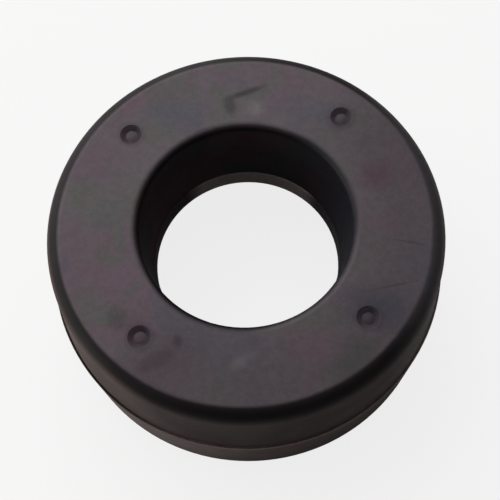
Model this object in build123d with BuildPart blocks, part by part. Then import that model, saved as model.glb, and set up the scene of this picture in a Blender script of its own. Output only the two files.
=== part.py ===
from build123d import *
from math import radians, tan
import os

# Moulded rubber ring: a thick ring with a flat top face, moulded in two halves that
# meet at a parting line all round, outside and in the bore.
# It stands on Z = 0 with its axis on Z. All sizes are in millimetres.

# Overall sizes
ring_height = 30.5
parting_height = 15.0       # where the two halves meet
parting_radius = 35.8       # the widest place, at the lower half's lip
throat_radius = 17.1        # the narrowest place of the bore, just below the parting line

# Outer wall: leans in from the parting line to the top and to the base
upper_draft = 3.7           # degrees
lower_draft = 2.4
base_bevel = 0.8            # outer edge on the bench

# Parting line outside: the lower half stands out a little, behind a fine V groove
parting_step = 0.4
groove_width = 0.25
groove_depth = 0.22
lip_bevel = 0.1

# Bore: a tapered upper half, a ledge at the parting line, a short straight throat and
# a wide flare that opens to the underside
bore_draft = 4.8            # degrees
ledge_width = 0.2
ledge_bevel = 0.12
throat_length = 4.2
flare_angle = 28.0          # degrees from the axis
under_bevel = 0.8           # inner edge on the bench

# Edges of the top face
shoulder_round = 2.8        # between the wall and the top face
mouth_round = 1.4           # between the top face and the bore

# Gate wells: shallow round dimples in the top face, where the mould was filled
well_count = 4
well_first_angle = 45.0
well_offset = 0.9           # outwards from the middle of the flat face
well_radius = 1.85
well_floor_radius = 1.1
well_depth = 0.65
well_mouth_bevel = 0.15
pip_height = 0.22           # low dome left in the middle of each floor

# Places that follow from the sizes above
upper_height = ring_height - parting_height
wall_foot_radius = parting_radius - parting_step
wall_top_radius = wall_foot_radius - upper_height * tan(radians(upper_draft))
base_outer_radius = parting_radius - parting_height * tan(radians(lower_draft))
bore_foot_radius = throat_radius + ledge_width
bore_top_radius = bore_foot_radius + upper_height * tan(radians(bore_draft))
throat_foot_height = parting_height - throat_length
base_inner_radius = throat_radius + throat_foot_height * tan(radians(flare_angle))
face_inner_radius = bore_top_radius + mouth_round
face_outer_radius = wall_top_radius - shoulder_round
well_pitch_radius = (face_inner_radius + face_outer_radius) / 2 + well_offset

# Corners of the half section, as (radius, height), starting at the base
under_edge = (base_inner_radius, 0)
base_edge = (base_outer_radius, 0)
lip = (parting_radius, parting_height)
groove_lip = (wall_foot_radius + groove_width, parting_height)
groove_root = (wall_foot_radius, parting_height - groove_depth)
wall_foot = (wall_foot_radius, parting_height)
shoulder = (wall_top_radius, ring_height)
mouth = (bore_top_radius, ring_height)
ledge_root = (bore_foot_radius, parting_height)
ledge_edge = (throat_radius, parting_height)
throat_foot = (throat_radius, throat_foot_height)

# One gate well, to be taken out of the top face: bevelled mouth, sloping side and
# a floor that rises to the pip
with BuildPart() as gate_well:
    with BuildSketch(Plane.XZ):
        with BuildLine():
            side = Polyline(
                (0, 0),
                (well_radius + well_mouth_bevel, 0),
                (well_radius, -well_mouth_bevel),
                (well_floor_radius, -well_depth),
            )
            floor = TangentArc((0, pip_height - well_depth), side @ 1, tangent=(1, 0))
            Line(floor @ 0, side @ 0)
        make_face()
    revolve(axis=Axis.Z)

with BuildPart() as rubber_ring:
    # The whole moulding is one turn of its half section
    with BuildSketch(Plane.XZ):
        with BuildLine():
            Polyline(
                under_edge, base_edge, lip, groove_lip, groove_root, wall_foot,
                shoulder, mouth, ledge_root, ledge_edge, throat_foot,
                close=True,
            )
        make_face()
        for corner, size in ((shoulder, shoulder_round), (mouth, mouth_round)):
            fillet(vertices().sort_by_distance(corner)[0], size)
        for corner, size in (
            (under_edge, under_bevel),
            (base_edge, base_bevel),
            (lip, lip_bevel),
            (ledge_edge, ledge_bevel),
        ):
            chamfer(vertices().sort_by_distance(corner)[0], size)
    revolve(axis=Axis.Z)

    # The wells, evenly spaced round the top face
    with Locations(Plane.XY.offset(ring_height)):
        with PolarLocations(well_pitch_radius, well_count, start_angle=well_first_angle):
            add(gate_well.part, mode=Mode.SUBTRACT)

rubber_ring.part.label = "rubber_ring"

os.makedirs("parts", exist_ok=True)
export_step(rubber_ring.part, "parts/rubber_ring.step")

print("height", ring_height, "width", 2 * parting_radius, "throat", 2 * throat_radius)
print("wall radius at the top", round(wall_top_radius, 3))
print("bore radius at the top", round(bore_top_radius, 3))
print("base from", round(base_inner_radius, 3), "to", round(base_outer_radius, 3))
print("flat face from", round(face_inner_radius, 3), "to", round(face_outer_radius, 3))
print("well pitch radius", round(well_pitch_radius, 3))
print("volume", round(rubber_ring.part.volume, 1))
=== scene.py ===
from math import radians
from typing import NamedTuple

import bpy
from mathutils import Matrix, Vector


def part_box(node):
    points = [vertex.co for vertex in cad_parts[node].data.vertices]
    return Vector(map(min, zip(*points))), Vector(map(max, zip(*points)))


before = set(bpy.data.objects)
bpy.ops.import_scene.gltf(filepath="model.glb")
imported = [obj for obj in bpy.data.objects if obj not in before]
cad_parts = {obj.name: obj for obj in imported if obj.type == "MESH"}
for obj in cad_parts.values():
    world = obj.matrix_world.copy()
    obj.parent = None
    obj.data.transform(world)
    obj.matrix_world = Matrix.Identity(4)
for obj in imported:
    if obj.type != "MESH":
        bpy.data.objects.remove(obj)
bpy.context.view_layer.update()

# Moulded rubber ring on a pale floor. Lengths are in metres, or in mm where a comment says
# so. The frame is the CAD one: base on Z = 0, axis on Z, camera at the front (-Y).

MM = 0.001
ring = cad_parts["rubber_ring"]
lowest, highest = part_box("rubber_ring")
RING_HEIGHT = highest.z - lowest.z

# Helpers

# The Mix node has a set of sockets for each kind of data. These are its colour sockets.
MIX_FIRST, MIX_SECOND, MIX_RESULT = 6, 7, 2


class Nodes:
    """Short calls for building a node tree."""

    def __init__(self, tree):
        self.tree = tree
        tree.nodes.clear()

    def add(self, kind, inputs=None, **settings):
        """A new node. Its inputs go by name or number, and are outputs or plain values."""
        node = self.tree.nodes.new(kind)
        for name, value in settings.items():
            setattr(node, name, value)
        for key, value in (inputs or {}).items():
            if isinstance(value, bpy.types.NodeSocket):
                self.tree.links.new(value, node.inputs[key])
            else:
                node.inputs[key].default_value = value
        return node

    def math(self, operation, *values):
        return self.add("ShaderNodeMath", dict(enumerate(values)), operation=operation).outputs[0]

    def chain(self, operation, result, *others):
        """The same operation along a row of values, as in a long product."""
        for other in others:
            result = self.math(operation, result, other)
        return result

    def all_of(self, *masks):
        return self.chain("MULTIPLY", *masks)

    def any_of(self, *masks):
        return self.chain("MAXIMUM", *masks)

    def ramp(self, value, start, end, low=0.0, high=1.0):
        """A smooth step from low to high as the value goes from start to end."""
        inputs = {"Value": value, "From Min": start, "From Max": end, "To Min": low, "To Max": high}
        return self.add("ShaderNodeMapRange", inputs, interpolation_type="SMOOTHSTEP").outputs["Result"]

    def mix(self, share, first, second, blend="MIX"):
        """The first colour where the share is 0, the second where it is 1."""
        inputs = {"Factor": share, MIX_FIRST: first, MIX_SECOND: second}
        return self.add("ShaderNodeMix", inputs, data_type="RGBA", blend_type=blend).outputs[MIX_RESULT]

    def overlay(self, colour, *layers):
        """Colours laid over the first one in turn, each where its mask is 1."""
        for mask, over in layers:
            colour = self.mix(mask, colour, over)
        return colour

    def mix_shaders(self, share, first, second):
        return self.add("ShaderNodeMixShader", {0: share, 1: first, 2: second}).outputs[0]

    def parts(self, vector):
        """The X, Y and Z of a vector."""
        return self.add("ShaderNodeSeparateXYZ", {0: vector}).outputs

    def length(self, vector):
        return self.add("ShaderNodeVectorMath", {0: vector}, operation="LENGTH").outputs["Value"]

    def seen_by_camera(self):
        return self.add("ShaderNodeLightPath").outputs["Is Camera Ray"]


def new_material(name, kind=Nodes):
    """A new material, and the helper that builds its nodes."""
    material = bpy.data.materials.new(name)
    material.use_nodes = True
    return material, kind(material.node_tree)


def new_object(name, data):
    """A new object, in the scene."""
    made = bpy.data.objects.new(name, data)
    bpy.context.scene.collection.objects.link(made)
    return made


# Rubber

# Its colours, by how the surface has been used, and where light and shade are painted into them
BLOOM = (0.082, 0.065, 0.075, 1)            # film on the flat face
BLOOM_PINK = (0.095, 0.063, 0.080, 1)       # fields of the film
BLOOM_GREEN = (0.069, 0.070, 0.065, 1)
BLOOM_BLUE = (0.066, 0.060, 0.078, 1)
BLOOM_SHADED = (0.049, 0.038, 0.045, 1)       # painted shade on the film, everywhere but the back left
BARE = (0.005, 0.003, 0.004, 1)             # clean rubber of the shoulder and the mouth
SHOULDER_REFLECTION = (0.027, 0.024, 0.0265, 1)   # painted reflection on the right side of the shoulder
BORE = (0.033, 0.010, 0.018, 1)             # tapered wall of the bore
BORE_GREY = (0.018, 0.017, 0.020, 1)        # fields of it
BORE_SHEEN_BLUE = (0.0085, 0.008, 0.012, 1)       # painted bluish sheen on its right side
THROAT_LIGHT = (0.340, 0.285, 0.280, 1)           # painted light, a pale band on the straight part of the bore
WALL = (0.025, 0.015, 0.013, 1)             # upper wall
WALL_LEFT_LIGHT = (0.061, 0.044, 0.040, 1)       # painted light on its left side
WALL_RIGHT_REFLECTION = (0.056, 0.051, 0.049, 1)        # painted reflection on its right side
LOWER = (0.067, 0.048, 0.048, 1)            # lower wall
LOWER_LIT = (0.122, 0.098, 0.096, 1)      # painted light on its left side and towards its foot
GROOVE_LIGHT = (0.200, 0.150, 0.145, 1)           # painted light in the parting line, lightening its shade
GROOVE_LEFT_LIGHT = (0.040, 0.028, 0.025, 1)     # less painted light in the parting line on its left side
WELL_LIT_SLOPE_SHADE = (0.021, 0.014, 0.020, 1)        # painted shade on the slopes of the wells that face left
WELL_SHADE = (0.048, 0.030, 0.038, 1)       # lighter painted shade on the slopes that face right
STAIN = (0.017, 0.011, 0.015, 1)            # rubbed places, and the darker ring round each well
STAIN_RED = (0.058, 0.032, 0.042, 1)
# a bluish tint with painted shade, round the front-right well
BLUE_TINT_AND_SHADE = (0.030, 0.029, 0.042, 1)
# a greenish tint with painted shade, from there to the shoulder
GREEN_TINT_AND_SHADE = (0.036, 0.037, 0.035, 1)
STAIN_PINK = (0.071, 0.047, 0.060, 1)
PALE = (0.115, 0.105, 0.105, 1)             # thick bloom

# Noises: scale in waves per metre, detail, roughness, and distortion where there is any
WANDER = (260, 3, 0.6)                      # moves the edges of the zones and marks
CLOUDS = (78, 3, 0.5, 0.5)                  # pink fields of the bloom, and its roughness
PATCHES = (105, 2, 0.5, 0.8)                # green fields
DRIFT = (60, 2, 0.5)                        # blue fields, and the grey ones of the bore
GRAIN = (900, 3, 0.6)                       # in the colour and the relief
SPECKS = (2600, 2, 0.6)                     # in the colour
DENTS = (330, 2, 0.5)                       # in the relief
NOISE_MIDDLE = 0.5

# Ramps over a noise: its value at both ends, then what the ramp gives there if not 0 and 1
PINK_FIELDS = (0.46, 0.66)
GREEN_FIELDS = (0.55, 0.33, 0.0, 0.8)
BLUE_FIELDS = (0.52, 0.64, 0.0, 0.8)
GREY_FIELDS = (0.42, 0.56)
SPECKLE = (0.6, 0.9, 0.93, 1.07)            # over the grain and the specks, as lightness
CLOUD_ROUGHNESS = (0.35, 0.65, 0.0, 0.10)

# Places on the ring, in mm
TOP = RING_HEIGHT / MM
PARTING = 15.0                              # height where its two halves meet
THROAT_FOOT = 10.8                          # height where the bore's straight part ends
FILM_START = 19.62                          # radii between which the film lies, a little past
FILM_END = 32.1                             # the flat face on both sides
WELL_PLACE = 18.88                          # middle of each well, along X and along Y

# Ramps over a radius, in mm, written in the same way
FILM_INNER = (FILM_START - 0.7, FILM_START + 0.5)
FILM_OUTER = (FILM_END + 0.6, FILM_END - 0.1)
FACE_SHADE_OUTWARDS = (20.0, 27.0, 0.40, 0.72)     # share of painted shade on the film, growing outwards
OUTSIDE = (30.0, 32.0)                      # shoulder and outer wall
BORE_SIDE = (19.4, 18.8)                    # wall of the bore
THROAT_SIDE = (19.5, 18.5)                  # its straight part

# Ramps over a height, in mm
FILM_LOWEST = (TOP - 1.6, TOP - 1.2)        # low enough to take in the wells
WELL_DEPTH = (TOP - 0.03, TOP - 0.30)
BORE_TOP = (TOP - 0.5, TOP - 2.5)
UPPER_WALL = (TOP - 1.3, TOP - 2.5)
GROOVE_TOP = (PARTING + 0.25, PARTING + 0.05)
GROOVE_FOOT = (PARTING - 0.45, PARTING - 0.25)
LOWER_WALL = (PARTING + 0.15, PARTING - 0.15)
# painted light, lighter towards the foot of the lower wall
FOOT_LIGHT = (13.0, 2.0, 0.0, 0.45)
THROAT_TOP = (PARTING + 0.1, PARTING - 0.1)
THROAT_END = (THROAT_FOOT - 0.6, THROAT_FOOT)
SIDE_COLOUR_RISE = 0.7                             # how much higher the wall's colour, with its painted light and reflection on the sides, reaches on the shoulder

# Ramps over y - x, in mm, which is highest at the back left. They move the film's edges.
MOUTH_BACK = (0.0, 12.0, 0.0, 0.45)         # further into the mouth at the back left
MOUTH_FRONT = (-18.0, -25.0, 0.0, 0.45)     # and at the front right
SHOULDER_FRONT = (-10.0, -30.0, 0.0, 0.30)  # further from the shoulder at the front right

# Ramps with a wavy edge, in mm: how far it wanders comes first. The darker ring round the wells
# is over the distance from the nearest well, the face's painted shade is over y - x, and the others are
# over x.
# left side, where the walls get painted light, and the parting line less of it
LEFT_SIDE = (6.0, -6.0, -24.0)
LOWER_LIT_SIDE = (6.0, 5.0, -12.0)              # painted light on the left side of the lower wall
RIGHT_SIDE = (8.0, 8.0, 22.0)               # where the bore's painted sheen lies
# right side, where the shoulder and the upper wall carry a painted reflection
FAR_RIGHT = (4.0, 22.0, 33.0)
FACE_SHADE_SIDE = (12.0, 16.0, -2.0)           # painted shade on the face, everywhere but the back left
# darker ring round each well
WELL_RING = (1.2, 3.7, 2.4, 0.0, 0.35)

# The throat's painted light lies on its far side only. This ramp is over y + THROAT_SLANT * x, in mm.
THROAT_SLANT = 0.15
THROAT_FAR = (11.8, 14.6, 0.06, 1.0)

# Ramps over the surface's normal: how much it faces up, and how much it faces right
WELL_SLOPE = (0.97, 0.80)
WELL_FACING = (-0.35, 0.25)

# Surface
SPECK_SHARE = 0.5                           # how much the specks count beside the grain
GRAIN_RELIEF = 0.5                          # how much the grain counts beside the dents
BUMP_STRENGTH = 0.30
BUMP_DEPTH = 0.1                            # mm
SPECULAR_LEVEL = 0.17
DUST_ROUGHNESS = (0.0, 1.0, 0.48, 0.54)     # from bare rubber to dusty


class Blemish(NamedTuple):
    """An oval mark on the face. Strength is how far it hides what lies under it. Its place
    (x, y) and its size, a half length and a half width, are in mm, and its turn is in
    degrees. Soft and ragged are how wide and how uneven its edge is."""

    colour: tuple
    strength: float
    place: tuple
    size: tuple
    turn: float = 0
    soft: float = 0.8
    ragged: float = 0.5


# In the order in which they lie over each other
BLEMISHES = (
    Blemish(STAIN_RED, 0.65, (23.5, 7.0), (4.6, 4.2), 40),                  # on the right
    Blemish(BLUE_TINT_AND_SHADE, 0.80, (20.8, -17.4), (9.0, 6.0), -20, soft=0.9),    # round the front-right well: bluish tint with painted shade
    Blemish(GREEN_TINT_AND_SHADE, 0.85, (15.5, -25.5), (8.5, 4.2), 32, soft=0.9),    # from there to the shoulder: greenish tint with painted shade
    Blemish(STAIN_PINK, 0.85, (9.0, -22.8), (9.0, 5.0), -14, soft=0.9),     # in front of the bore
    Blemish(STAIN, 0.36, (-16.4, -23.2), (4.6, 2.2), 20, ragged=1.2),       # beside the front-left well
    Blemish(STAIN, 0.30, (-22.4, -15.2), (2.6, 3.4), 30, ragged=1.2),
    Blemish(STAIN, 0.55, (-0.8, 23.0), (1.6, 3.0), 10),                     # tail of the rub mark
    Blemish(PALE, 0.75, (3.4, 22.2), (2.6, 2.4), 20, soft=0.9),             # beside the rub mark
    Blemish(STAIN, 0.72, (2.2, 25.6), (5.2, 1.0), 16),                      # rub mark behind the bore
    Blemish(PALE, 0.35, (-2.8, -24.6), (3.6, 1.6), 30, soft=0.9),           # in front of the bore
    Blemish(STAIN, 0.55, (-12.7, -20.2), (1.3, 1.6)),                       # spot by the front-left well
    Blemish(STAIN, 0.15, (-0.4, -21.0), (2.2, 1.4)),                        # at the bore's front edge
    Blemish(STAIN, 0.35, (27.4, -6.2), (4.0, 0.30), -16, soft=0.7, ragged=0.3),  # fine scores
    Blemish(STAIN, 0.35, (23.2, -13.8), (6.2, 0.30), 7, soft=0.7, ragged=0.3),
)


class Rubber(Nodes):
    """Where each place of the ring lies, its noises and zones, and the colours they mix."""

    def __init__(self, tree):
        super().__init__(tree)
        coordinates = self.add("ShaderNodeTexCoord")
        self.place = coordinates.outputs["Object"]
        self.x, self.y, self.z = (self.math("DIVIDE", part, MM) for part in self.parts(self.place))
        self.radius = self.distance(self.x, self.y)
        self.back_left = self.math("SUBTRACT", self.y, self.x)
        self.facing_right, _, self.facing_up = self.parts(coordinates.outputs["Normal"])

        self.wander = self.noise(*WANDER)
        self.clouds = self.noise(*CLOUDS)
        self.drift = self.noise(*DRIFT)
        self.grain = self.noise(*GRAIN)

        self.film = self.film_mask()
        self.outside = self.ramp(self.radius, *OUTSIDE)
        self.left_side = self.wavy_ramp(self.x, *LEFT_SIDE)
        self.far_right = self.wavy_ramp(self.x, *FAR_RIGHT)
        rise = self.math("MULTIPLY", self.any_of(self.left_side, self.far_right), SIDE_COLOUR_RISE)
        below = self.math("SUBTRACT", self.z, rise)
        self.upper_wall = self.all_of(self.outside, self.ramp(below, *UPPER_WALL))
        self.lower_wall = self.all_of(self.outside, self.ramp(self.z, *LOWER_WALL))

    def noise(self, scale, detail, roughness, distortion=0.0):
        inputs = {"Vector": self.place, "Scale": scale, "Detail": detail, "Roughness": roughness,
                  "Distortion": distortion}
        return self.add("ShaderNodeTexNoise", inputs).outputs["Fac"]

    def distance(self, across, along):
        """How far a place is from an upright line, from its two distances in X and Y."""
        squares = (self.math("MULTIPLY", side, side) for side in (across, along))
        return self.math("SQRT", self.math("ADD", *squares))

    def wavy_ramp(self, value, wave, *limits):
        """A ramp whose edge wanders by up to the wave."""
        moved = self.math("ADD", value, self.math("MULTIPLY", self.wander, wave))
        return self.ramp(moved, *limits)

    def film_mask(self):
        """The flat face under its film of bloom, which ends on the rounded edges."""
        reach = self.any_of(self.ramp(self.back_left, *MOUTH_BACK),
                            self.ramp(self.back_left, *MOUTH_FRONT))
        gap = self.ramp(self.back_left, *SHOULDER_FRONT)
        return self.all_of(self.ramp(self.math("ADD", self.radius, reach), *FILM_INNER),
                           self.ramp(self.math("ADD", self.radius, gap), *FILM_OUTER),
                           self.ramp(self.z, *FILM_LOWEST))

    def blemish_mask(self, blemish):
        """An oval with a soft and ragged edge."""
        x, y = blemish.place
        length, width = blemish.size
        inputs = {
            "Vector": self.place,
            "Location": (x * MM, y * MM, RING_HEIGHT),
            "Rotation": (0, 0, radians(blemish.turn)),
            "Scale": (length * MM, width * MM, 1.0),
        }
        local = self.add("ShaderNodeMapping", inputs, vector_type="TEXTURE").outputs[0]
        wander = self.math("SUBTRACT", self.wander, NOISE_MIDDLE)
        edge = self.math("ADD", self.length(local), self.math("MULTIPLY", wander, blemish.ragged))
        return self.ramp(edge, 1.0, 1.0 - blemish.soft, 0.0, blemish.strength)

    def bloom(self):
        """The colour of the flat face, with its marks and wells."""
        # painted shade on the film, everywhere but the back left and more outwards
        face_shade = self.all_of(self.wavy_ramp(self.back_left, *FACE_SHADE_SIDE),
                              self.ramp(self.radius, *FACE_SHADE_OUTWARDS))
        from_well = self.distance(*(self.math("SUBTRACT", self.math("ABSOLUTE", side), WELL_PLACE)
                                    for side in (self.x, self.y)))
        slope = self.all_of(self.film, self.ramp(self.z, *WELL_DEPTH),
                            self.ramp(self.facing_up, *WELL_SLOPE))
        return self.overlay(
            BLOOM,
            (self.ramp(self.clouds, *PINK_FIELDS), BLOOM_PINK),
            (self.ramp(self.noise(*PATCHES), *GREEN_FIELDS), BLOOM_GREEN),
            (self.ramp(self.drift, *BLUE_FIELDS), BLOOM_BLUE),
            (face_shade, BLOOM_SHADED),
            *((self.blemish_mask(blemish), blemish.colour) for blemish in BLEMISHES),
            (self.wavy_ramp(from_well, *WELL_RING), STAIN),
            # painted shade on the slopes of the wells
            (slope, self.mix(self.ramp(self.facing_right, *WELL_FACING), WELL_LIT_SLOPE_SHADE, WELL_SHADE)),
        )

    def colour(self):
        """The colour of the whole ring, before its specks."""
        bore = self.mix(self.ramp(self.drift, *GREY_FIELDS), BORE, BORE_GREY)
        wall = self.mix(self.left_side, self.mix(self.far_right, WALL, WALL_RIGHT_REFLECTION), WALL_LEFT_LIGHT)
        bore_sheen = self.all_of(self.ramp(self.radius, *BORE_SIDE), self.wavy_ramp(self.x, *RIGHT_SIDE))
        # painted light on the lower wall's left side and towards its foot
        dust_and_painted_light = self.any_of(self.wavy_ramp(self.x, *LOWER_LIT_SIDE), self.ramp(self.z, *FOOT_LIGHT))
        groove = self.all_of(self.outside, self.ramp(self.z, *GROOVE_TOP),
                             self.ramp(self.z, *GROOVE_FOOT))
        far_side = self.math("ADD", self.y, self.math("MULTIPLY", self.x, THROAT_SLANT))
        throat = self.all_of(self.ramp(self.radius, *THROAT_SIDE), self.ramp(self.z, *THROAT_TOP),
                             self.ramp(self.z, *THROAT_END), self.ramp(far_side, *THROAT_FAR))
        return self.overlay(
            BARE,
            (self.ramp(self.z, *BORE_TOP), bore),
            # painted reflection on the right side of the shoulder
            (self.outside, self.mix(self.far_right, BARE, SHOULDER_REFLECTION)),
            # upper wall, with painted light on its left side and a painted reflection on its right
            (self.upper_wall, wall),
            # painted bluish sheen on the right side of the bore
            (bore_sheen, BORE_SHEEN_BLUE),
            # lower wall, with painted light on its left side and towards its foot
            (self.lower_wall, self.mix(dust_and_painted_light, LOWER, LOWER_LIT)),
            # painted light in the parting line
            (groove, self.mix(self.left_side, GROOVE_LIGHT, GROOVE_LEFT_LIGHT)),
            # painted light on the far side of the bore's straight part
            (throat, THROAT_LIGHT),
            (self.film, self.bloom()),
        )

    def speckled(self, colour):
        """The colour with its fine specks and grain."""
        specks = self.math("MULTIPLY", self.noise(*SPECKS), SPECK_SHARE)
        lightness = self.ramp(self.math("ADD", self.grain, specks), *SPECKLE)
        grey = self.add("ShaderNodeCombineColor", dict.fromkeys(("Red", "Green", "Blue"), lightness))
        return self.mix(1.0, colour, grey.outputs[0], "MULTIPLY")


def moulded_rubber():
    """The one material of the ring: dull, a little glossier where it is bare."""
    material, n = new_material("moulded_rubber", Rubber)
    dust_and_painted_light = n.any_of(n.film, n.upper_wall, n.lower_wall)
    relief = n.math("ADD", n.math("MULTIPLY", n.grain, GRAIN_RELIEF), n.noise(*DENTS))
    bump = n.add("ShaderNodeBump", {
        "Strength": BUMP_STRENGTH,
        "Distance": BUMP_DEPTH * MM,
        "Height": relief,
    })
    shader = n.add("ShaderNodeBsdfPrincipled", {
        "Base Color": n.speckled(n.colour()),
        "Roughness": n.math("ADD", n.ramp(n.clouds, *CLOUD_ROUGHNESS), n.ramp(dust_and_painted_light, *DUST_ROUGHNESS)),
        "Specular IOR Level": SPECULAR_LEVEL,
        "Normal": bump.outputs[0],
    })
    n.add("ShaderNodeOutputMaterial", {"Surface": shader.outputs[0]})
    return material


rubber = moulded_rubber()
for slot in ring.material_slots:
    slot.material = rubber

# Floor

FLOOR_SIDE = 4.0
FLOOR_COLOUR = (0.61, 0.59, 0.58, 1)
FLOOR_WHITENING = 0.82          # share of plain white that the camera sees round the ring
SHADOW_RADIUS = 0.05            # from here the floor turns whiter
FLOOR_WHITE_RADIUS = 0.40       # from here it is all white to the camera


def pale_floor():
    """Keeps the ring's shadow, and turns to plain white further out for the camera."""
    material, n = new_material("pale_floor")
    matt = n.add("ShaderNodeBsdfDiffuse", {"Color": FLOOR_COLOUR})
    white = n.add("ShaderNodeEmission")
    from_ring = n.length(n.add("ShaderNodeTexCoord").outputs["Object"])
    whitening = n.ramp(from_ring, SHADOW_RADIUS, FLOOR_WHITE_RADIUS, FLOOR_WHITENING, 1.0)
    share = n.math("MULTIPLY", n.seen_by_camera(), whitening)
    surface = n.mix_shaders(share, matt.outputs[0], white.outputs[0])
    n.add("ShaderNodeOutputMaterial", {"Surface": surface})
    return material


half = FLOOR_SIDE / 2
corners = [(-half, -half, 0), (half, -half, 0), (half, half, 0), (-half, half, 0)]
floor_mesh = bpy.data.meshes.new("floor")
floor_mesh.from_pydata(corners, [], [(0, 1, 2, 3)])
floor_mesh.materials.append(pale_floor())
floor = new_object("floor", floor_mesh)

# World

AMBIENT = 0.12
WHITE = (1, 1, 1, 1)

world = bpy.data.worlds.new("studio")
bpy.context.scene.world = world
world.use_nodes = True
n = Nodes(world.node_tree)
room = n.add("ShaderNodeBackground", {"Strength": AMBIENT})
backdrop = n.add("ShaderNodeBackground", {"Color": WHITE})
surroundings = n.mix_shaders(n.seen_by_camera(), room.outputs[0], backdrop.outputs[0])
n.add("ShaderNodeOutputWorld", {"Surface": surroundings})

# Lamps


def soft_lamp(name, towards, distance, size, power, colour=(1, 1, 1)):
    """A square area lamp that looks at the ring from the direction given. Power is in watts."""
    data = bpy.data.lights.new(name, "AREA")
    data.size = size
    data.energy = power
    data.color = colour
    direction = Vector(towards).normalized()
    lamp = new_object(name, data)
    lamp.location = Vector((0, 0, RING_HEIGHT)) + distance * direction
    lamp.rotation_euler = direction.to_track_quat("Z", "Y").to_euler()


soft_lamp("window", towards=(-0.52, 0.72, 0.52), distance=0.65, size=1.00, power=6.4)
soft_lamp("ceiling", towards=(-0.02, 0.50, 0.866), distance=0.85, size=1.00, power=4.3)
soft_lamp("side", towards=(-0.98, -0.10, 0.16), distance=0.60, size=0.40, power=1.55,
          colour=(1.0, 0.93, 0.88))

# Camera

SENSOR = 36.0               # mm
VIEW_LENS = 72.65           # mm
VIEW_ELEVATION = 66.42      # degrees above the floor
VIEW_AZIMUTH = -1.30        # degrees round the ring's axis
VIEW_ROLL = -3.62           # degrees round the line of sight
VIEW_DISTANCE = 0.1731      # from the middle of the top face
FRAME_SIDE = 500.0          # pixels
TOP_CENTRE_X = 245.00       # where the middle of the top face falls in the frame, in pixels
TOP_CENTRE_Y = 222.10

camera_data = bpy.data.cameras.new("camera")
camera_data.sensor_width = SENSOR
camera_data.lens = VIEW_LENS
camera_data.shift_x = 0.5 - TOP_CENTRE_X / FRAME_SIDE
camera_data.shift_y = TOP_CENTRE_Y / FRAME_SIDE - 0.5
camera = new_object("camera", camera_data)
turn = (Matrix.Rotation(radians(VIEW_AZIMUTH), 4, "Z")
        @ Matrix.Rotation(radians(90 - VIEW_ELEVATION), 4, "X")
        @ Matrix.Rotation(radians(VIEW_ROLL), 4, "Z"))
camera.matrix_world = (Matrix.Translation((0, 0, RING_HEIGHT)) @ turn
                       @ Matrix.Translation((0, 0, VIEW_DISTANCE)))
bpy.context.scene.camera = camera
bpy.context.scene.view_settings.view_transform = "Standard"
